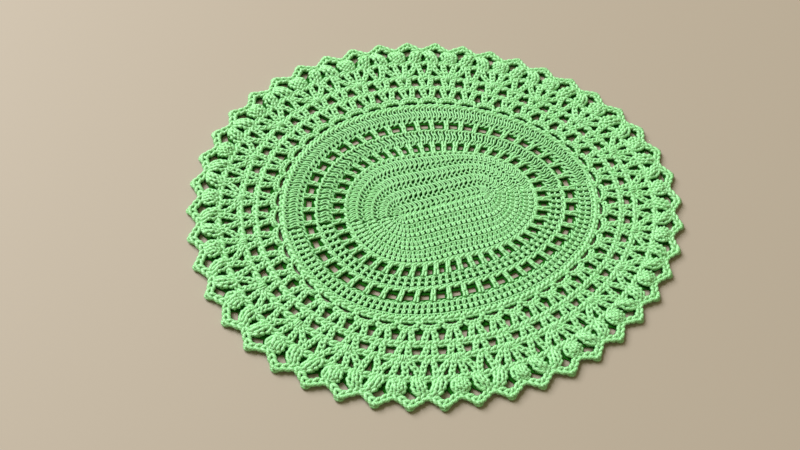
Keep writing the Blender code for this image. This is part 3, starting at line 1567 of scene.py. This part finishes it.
@dataclass
class Rim(Round):
    """Scallop of chain with a small picot at its point.

    Its rise holds shares of half a scallop from the valley, and heights across the strip in
    millimetres.
    """

    chain: Braid = Braid(links=6, half_width=1.5 * MM, thick=1.42)
    height: float = 2.6 * MM
    rise: tuple[Spot, ...] = ((0.0, -1.4), (0.2, -0.6), (0.62, 2.0), (0.88, 3.7))
    tip: float = 4.3 * MM
    picot_thick: float = 1.45
    picot: tuple[Point, ...] = (
        (-2.9, 3.6, 1.6), (-2.1, 5.4, 2.3), (-0.8, 5.2, 3.0), (0.0, 6.1, 2.8), (0.8, 5.2, 3.0),
        (2.1, 5.4, 2.3), (2.9, 3.6, 1.6),
    )
    picot_back: tuple[Point, ...] = (
        (-2.3, 4.4, 1.1), (-1.4, 6.1, 1.3), (0.0, 6.7, 1.5), (1.4, 6.1, 1.3), (2.3, 4.4, 1.1),
    )

    def strands(self) -> list[Strand]:
        """One scallop.

        Returns:
            The strands of its chain and its picot.
        """
        half = self.pitch / 2.0
        left = [(-half * (1.0 - x), y * MM, self.height) for x, y in self.rise]
        right = [(-x, y, z) for x, y, z in reversed(left)]
        route = Route((*left, (0.0, self.tip, self.height), *right))
        picots = [Strand(scaled(line), self.picot_thick) for line in (self.picot, self.picot_back)]
        return [*self.chain.strands(route), *picots]


# ---------------------------------------------------------------- core sheet


@dataclass(frozen=True)
class Gap:
    """One kind of gap of the lace.

    Each of its rows holds a ring and how far the gap reaches there, left and right of its
    place, in millimetres. The inset makes it that much smaller all round, so that a border of
    the dark core shows inside the gap's edge as painted shade on its walls. A mirrored gap is
    cut on the other side of its place too.
    """

    count: int
    start: float
    rows: tuple[tuple[float, float, float], ...]
    mirrored: bool = False
    # Dark core left inside each gap's edge, as painted shade on its walls.
    inset: float = 1.6
    narrowest: float = 0.1

    def outlines(self, oval: Oval) -> list[np.ndarray]:
        """Corners of every gap of this kind.

        Args:
            oval: The doily's rings.

        Returns:
            For each gap its rows of x and y.
        """
        made = []
        shares = (np.arange(self.count) + self.start) / self.count
        first, last = self.rows[0][0], self.rows[-1][0]
        middle = (first + last) / 2.0
        squeeze = max(1.0 - 2.0 * self.inset / (last - first), self.narrowest)
        for flip in (1.0, -1.0) if self.mirrored else (1.0,):
            sides = []
            for hand in (-1.0, 1.0):
                line = []
                for ring, left, right in self.rows:
                    ring = middle + squeeze * (ring - middle)
                    half = max((right - left) / 2.0 - self.inset, self.narrowest)
                    side = flip * ((left + right) / 2.0 + hand * half)
                    line.append(oval.along(shares, ring * MM, side * MM))
                sides.append(line)
            corners = np.array(sides[0] + sides[1][::-1])
            made += [corners[:, index] for index in range(self.count)]
        return made


@dataclass
class CoreSheet:
    """The cloth's thin middle layer, with the scalloped rim and the gaps of the lace.

    Its rim holds places beside a scallop's middle and their rings, in millimetres. Its dark
    colour is painted shade, which shows between the strands and round the gaps.
    """

    oval: Oval
    low: float = 0.4 * MM
    high: float = 1.3 * MM
    merge: float = 0.01 * MM
    scallops: int = 46
    tip_start: float = 0.593
    valley: float = 145.2 * MM
    rim: tuple[Spot, ...] = (
        (-6.0, 148.2), (-2.6, 149.9), (0.0, 151.0), (2.6, 149.9), (6.0, 148.2),
    )
    gaps: tuple[Gap, ...] = (
        Gap(48, 0.287, ((54.8, -2.8, 2.8), (61.4, -2.9, 2.9)), inset=1.4),
        Gap(48, 0.070, ((73.6, -4.0, 4.0), (80.0, -4.2, 4.2)), inset=1.4),
        Gap(46, 0.093, ((95.0, -5.3, 5.3), (97.4, -5.0, 5.0), (98.4, -3.0, 3.0)), inset=0.9),
        Gap(46, 0.593, ((101.0, -4.2, 4.2), (105.0, -3.2, 3.2), (109.2, -2.5, 2.5))),
        Gap(46, 0.093, ((102.6, -0.5, 0.5), (105.5, -1.8, 1.8), (109.0, -2.7, 2.7))),
        Gap(46, 0.593, ((111.8, -5.1, 5.1), (115.0, -4.0, 4.0), (118.6, -3.6, 3.6))),
        Gap(46, 0.093, ((113.0, -0.6, 0.6), (115.5, -1.8, 1.8), (118.4, -2.4, 2.4))),
        Gap(23, 0.5465, ((122.8, -0.4, 0.4), (126.5, -1.7, 1.7), (132.0, -3.0, 3.0))),
        Gap(
            23,
            0.5465,
            ((124.0, 3.4, 4.2), (126.5, 4.1, 7.0), (129.0, 4.7, 9.2), (132.0, 5.2, 10.0)),
            mirrored=True,
        ),
        Gap(
            23,
            0.5465,
            ((121.6, 5.4, 14.6), (123.0, 7.2, 14.2), (125.0, 9.2, 13.2), (127.0, 11.0, 12.4)),
            mirrored=True,
        ),
        Gap(23, 0.0465, ((122.6, -0.7, 0.7), (126.0, -2.0, 2.0), (132.0, -3.2, 3.2))),
        Gap(
            23,
            0.5465,
            (
                (134.9, 5.3, 7.8), (138.0, 7.0, 8.2), (141.0, 6.3, 9.2), (144.0, 4.4, 12.8),
                (146.2, 4.4, 15.0), (147.9, 6.8, 12.8),
            ),
            mirrored=True,
        ),
    )

    def edge(self) -> np.ndarray:
        """Line of the scalloped rim.

        Returns:
            One row of x and y for each of its points.
        """
        points = []
        for index in range(self.scallops):
            valley = np.array([(index + self.tip_start - 0.5) / self.scallops])
            tip = np.array([(index + self.tip_start) / self.scallops])
            points.append(self.oval.along(valley, self.valley)[0])
            for side, ring in self.rim:
                points.append(self.oval.along(tip, ring * MM, side * MM)[0])
        return np.array(points)

    def lines(self) -> list[np.ndarray]:
        """The rim and every gap.

        Returns:
            One closed line for each, the rim first.
        """
        made = [self.edge()]
        for gap in self.gaps:
            made += gap.outlines(self.oval)
        return made

    def build(self, material: bpy.types.Material) -> bpy.types.Object:
        """Fill the rim round its gaps.

        Args:
            material: The core's finish, its dark colour painted as shade.

        Returns:
            A thin closed sheet.
        """
        curve = bpy.data.curves.new("core_outline", "CURVE")
        curve.dimensions = "2D"
        curve.fill_mode = "BOTH"
        curve.extrude = (self.high - self.low) / 2.0
        for line in self.lines():
            spline = curve.splines.new("POLY")
            spline.points.add(len(line) - 1)
            for slot, point in zip(spline.points, line):
                slot.co = (point[0], point[1], 0.0, 1.0)
            spline.use_cyclic_u = True
        holder = new_object("core_outline", curve)
        bpy.context.view_layer.update()
        seen = holder.evaluated_get(bpy.context.evaluated_depsgraph_get())
        mesh = bpy.data.meshes.new_from_object(seen)
        bpy.data.objects.remove(holder, do_unlink=True)
        shape = bmesh.new()
        shape.from_mesh(mesh)
        bmesh.ops.remove_doubles(shape, verts=shape.verts, dist=self.merge)
        middle = (0.0, 0.0, (self.low + self.high) / 2.0)
        bmesh.ops.translate(shape, verts=shape.verts, vec=middle)
        bmesh.ops.recalc_face_normals(shape, faces=shape.faces)
        shape.to_mesh(mesh)
        shape.free()
        mesh.materials.clear()
        mesh.materials.append(material)
        mesh.name = "doily_core"
        made = new_object("doily_core", mesh)
        LOG.info("core sheet: %d faces", len(mesh.polygons))
        return made

    def flat_area(self) -> float:
        """Area inside the rim, less the gaps.

        Returns:
            The area in square metres.
        """
        total = 0.0
        for index, line in enumerate(self.lines()):
            x, y = line[:, 0], line[:, 1]
            area = abs(float(np.dot(x, np.roll(y, -1)) - np.dot(y, np.roll(x, -1)))) / 2.0
            total += area if index == 0 else -area
        return total


# ---------------------------------------------------------------- the doily


@dataclass
class Doily:
    """Every round of the doily, from the middle out.

    The first close round has its stitches, and each later one more. Every round is worked
    on the repeats of its own part: eyelets, arches or fans.
    """

    oval: Oval = field(default_factory=Oval)
    yarn: Yarn = field(default_factory=Yarn)
    close_rounds: int = 4
    first_stitches: int = 48
    more_stitches: int = 16
    round_shift: float = 0.2
    foundation_links: int = 28
    foundation_inner: float = 0.5 * MM
    foundation_outer: float = 1.3 * MM
    foundation_height: float = 2.0 * MM
    thin: float = 0.8
    low_height: float = 1.6 * MM
    chain_half: float = 0.5
    chain_margin: float = 4.0
    eyelets: int = 48
    first_post: float = 0.787
    second_post: float = 0.570
    inner_band_start: float = 0.287
    band_pair: Spot = (-2.2 * MM, 2.2 * MM)
    arches: int = 46
    arch_start: float = 0.093
    scallop_start: float = 0.593
    fans: int = 23
    fan_start: float = 0.5465
    edge_thick: float = 1.12
    ridge_start: float = 0.2

    def strip(self, inner: float, outer: float, margin: float = 1.0) -> Strip:
        """Strip between two rings.

        Args:
            inner: Size of the inner ring, in millimetres.
            outer: Size of the outer ring, in millimetres.
            margin: Shares of its width that are added on both sides.

        Returns:
            The strip.
        """
        middle = np.array(self.oval.middle)
        lines = [self.oval.outline(size * MM) - middle for size in (inner, outer)]
        return Strip(lines[0], lines[1], round(outer - inner, 3) * MM, margin=margin)

    def centre_rounds(self) -> list[Round]:
        """The close rounds round the foundation chain.

        Returns:
            The chain and both halves of each round.
        """
        centre = Centre(self.oval)
        step = centre.half_width / self.close_rounds
        ring = Strip(
            centre.outline(self.foundation_inner),
            centre.outline(self.foundation_outer),
            self.foundation_outer - self.foundation_inner,
        )
        chain = ChainEdge(
            "foundation_chain",
            ring,
            self.foundation_links,
            0.0,
            height=self.foundation_height,
            thick=self.thin,
            backed=False,
        )
        made: list[Round] = [chain]
        for index in range(self.close_rounds):
            inner = centre.outline(max(index * step, self.foundation_inner))
            outer = centre.outline((index + 1) * step)
            made += self.halves(
                f"close_round_{index + 1}",
                Strip(inner, outer, step, Columns.SQUARE),
                self.first_stitches + self.more_stitches * index,
                self.round_shift * index,
                seed=index + 1,
            )
        return made

    def halves(
        self, name: str, strip: Strip, count: int, start: float, **sizes: Any
    ) -> list[Round]:
        """A close round in two halves, whose stitches all face the same way.

        Args:
            name: Name of the round.
            strip: The strip of cloth that it fills.
            count: Number of stitches all round.
            start: Place of the first one, in stitches.
            sizes: Other sizes of the round.

        Returns:
            The half at +Y and the half at -Y.
        """
        half = count // 2
        back = CloseRound(
            name + "_back", strip, count, start, worked=half, facing=Facing.ARCHED, **sizes
        )
        front = CloseRound(name + "_front", strip, count, start + half, worked=half, **sizes)
        return [back, front]

    def chain(
        self, name: str, ring: float, count: int, start: float = 0.5, **sizes: Any
    ) -> ChainEdge:
        """Chain along a ring, on a strip a millimetre wide with a broad margin.

        Args:
            name: Name of the chain.
            ring: Size of the ring, in millimetres.
            count: Number of links.
            start: Place of the first one, in links.
            sizes: Other sizes of the chain.

        Returns:
            The chain.
        """
        strip = self.strip(ring - self.chain_half, ring + self.chain_half, self.chain_margin)
        return ChainEdge(name, strip, count, start, **sizes)

    def low_chain(self, name: str, ring: float, count: int) -> ChainEdge:
        """Thin chain along a ring, in millimetres, that the stitches of a band hide."""
        sizes = {"height": self.low_height, "thick": self.thin, "backed": False}
        return self.chain(name, ring, count, **sizes)

    def eyelet_rounds(self) -> list[Round]:
        """Both eyelet rounds, with the bands and chain edges beside them.

        Returns:
            The rounds from the centre's edge to the outer band's.
        """
        count = self.eyelets
        edge = {"thick": self.edge_thick, "backed": False}
        inner = self.strip(62.0, 72.3)
        start = self.inner_band_start
        return [
            self.chain("centre_edge", 53.1, 2 * count, **edge),
            Posts("first_eyelet_posts", self.strip(53.6, 62.0), count, self.first_post, seed=5),
            self.low_chain("first_eyelet_edge", 62.6, 2 * count),
            *self.halves("inner_band", inner, count, start, seed=6, places=self.band_pair),
            self.chain("inner_band_edge", 72.3, 2 * count, **edge),
            Posts("second_eyelet_posts", self.strip(72.6, 80.6), count, self.second_post, seed=7),
            self.low_chain("second_eyelet_edge", 81.4, 3 * count),
            *self.halves("outer_band", self.strip(81.6, 92.6), 3 * count, 0.0, seed=8),
            self.chain("outer_band_edge", 93.3, 3 * count),
        ]

    def lace_rounds(self) -> list[Round]:
        """The open rounds, from the first arches to the rim.

        Returns:
            The rounds in the order that they are worked in.
        """
        arches = (self.arches, self.arch_start)
        fans = (self.fans, self.fan_start)
        scallops = (self.arches, self.scallop_start)
        return [
            Arches("arch_round", self.strip(94.3, 100.3), *arches, seed=9),
            Lattice("lower_lattice", self.strip(99.6, 109.8), *arches, seed=10),
            self.chain("lattice_ridge", 110.3, 4 * self.arches, self.ridge_start),
            Lattice("upper_lattice", self.strip(110.9, 119.2), *arches, seed=11, head=3.6 * MM),
            self.chain("fan_ridge", 119.8, 4 * self.arches, self.ridge_start),
            Knots("knots", self.strip(117.6, 122.8), *fans, seed=12),
            Fans("fan_round", self.strip(120.0, 133.7), *fans, seed=13),
            self.chain("puff_ridge", 133.4, 9 * self.fans, self.ridge_start),
            Puffs("puff_stitches", self.strip(132.4, 147.4), *fans, seed=14),
            Rim("scalloped_rim", self.strip(146.0, 153.0), *scallops, seed=15),
        ]

    def build(self) -> tuple[bpy.types.Object, list[bpy.types.Object], float]:
        """Make every piece.

        Returns:
            The core sheet, the yarn pieces and the sheet's flat area.
        """
        stitches = StitchTree()
        material = self.yarn.material()
        core = CoreSheet(self.oval)
        sheet = core.build(PaintedShadeCore().material())
        rounds = [*self.centre_rounds(), *self.eyelet_rounds(), *self.lace_rounds()]
        pieces = [item.build(stitches, self.yarn, material) for item in rounds]
        return sheet, pieces, core.flat_area()


# ---------------------------------------------------------------- floor, light and camera


@dataclass(frozen=True)
class Studio:
    """Plain pale floor, one large soft light and a bright room round it."""

    floor_size: float = 6.0
    floor_colour: str = "a5998c"
    floor_roughness: float = 0.65
    sky_colour: str = "ece6ac"
    sky_strength: float = 0.36
    key_size: float = 3.0
    key_power: float = 418.0
    key_place: tuple[float, float, float] = (-2.0, 3.05, 3.4)

    def floor(self) -> None:
        """Pale floor, level with the underside."""
        mesh = bpy.data.meshes.new("floor")
        shape = bmesh.new()
        bmesh.ops.create_grid(shape, x_segments=1, y_segments=1, size=self.floor_size / 2.0)
        shape.to_mesh(mesh)
        shape.free()
        made = new_object("floor", mesh)
        # Honed limestone is fine and matt: it takes a soft shadow and shows no reflection.
        material = bpy.data.materials.new("honed_limestone")
        material.use_nodes = True
        shader = material.node_tree.nodes["Principled BSDF"]
        shader.inputs["Base Color"].default_value = linear(self.floor_colour)
        shader.inputs["Roughness"].default_value = self.floor_roughness
        mesh.materials.append(material)

    def lights(self) -> None:
        """Key light from the upper left of the picture, and an even sky."""
        lamp = bpy.data.lights.new("key", "AREA")
        lamp.shape = "SQUARE"
        lamp.size = self.key_size
        lamp.energy = self.key_power
        made = new_object("key", lamp)
        made.location = self.key_place
        made.rotation_euler = (-made.location).to_track_quat("-Z", "Y").to_euler()
        world = bpy.data.worlds.new("soft_room")
        world.use_nodes = True
        sky = world.node_tree.nodes["Background"]
        sky.inputs["Color"].default_value = linear(self.sky_colour)
        sky.inputs["Strength"].default_value = self.sky_strength
        bpy.context.scene.world = world
        bpy.context.scene.view_settings.view_transform = "Standard"


@dataclass(frozen=True)
class PhotoCamera:
    """The camera at the photograph's angle, which looks at its target from its distance."""

    focal_pixels: float = 999.0
    image_width: float = 800.0
    sensor: float = 36.0
    near: float = 0.01
    azimuth: float = math.radians(-28.18)
    elevation: float = math.radians(57.07)
    roll: float = math.radians(14.06)
    distance: float = 646.0 * MM
    target: tuple[float, float, float] = (-33.8 * MM, -10.5 * MM, 2.5 * MM)

    def build(self) -> None:
        """Create the camera and make it the scene's."""
        flat = math.cos(self.elevation)
        forward = Vector(
            (
                -math.sin(self.azimuth) * flat,
                math.cos(self.azimuth) * flat,
                -math.sin(self.elevation),
            )
        )
        right = Vector((math.cos(self.azimuth), math.sin(self.azimuth), 0.0))
        up = right.cross(forward)
        rolled_right = right * math.cos(self.roll) + up * math.sin(self.roll)
        rolled_up = up * math.cos(self.roll) - right * math.sin(self.roll)
        data = bpy.data.cameras.new("camera")
        data.sensor_width = self.sensor
        data.lens = data.sensor_width * self.focal_pixels / self.image_width
        data.clip_start = self.near
        made = new_object("camera", data)
        turn = Matrix((rolled_right, rolled_up, -forward)).transposed().to_4x4()
        place = Vector(self.target) - forward * self.distance
        made.matrix_world = Matrix.Translation(place) @ turn
        bpy.context.scene.camera = made


def main() -> None:
    """Build the doily and its studio, and tie every piece to the frame."""
    logging.basicConfig(level=logging.INFO, format="%(name)s %(message)s")
    sheet, pieces, area = Doily().build()
    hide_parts("doily")
    for piece in [sheet, *pieces]:
        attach(piece, "root")
    studio = Studio()
    studio.floor()
    studio.lights()
    PhotoCamera().build()


if __name__ == "__main__":
    main()
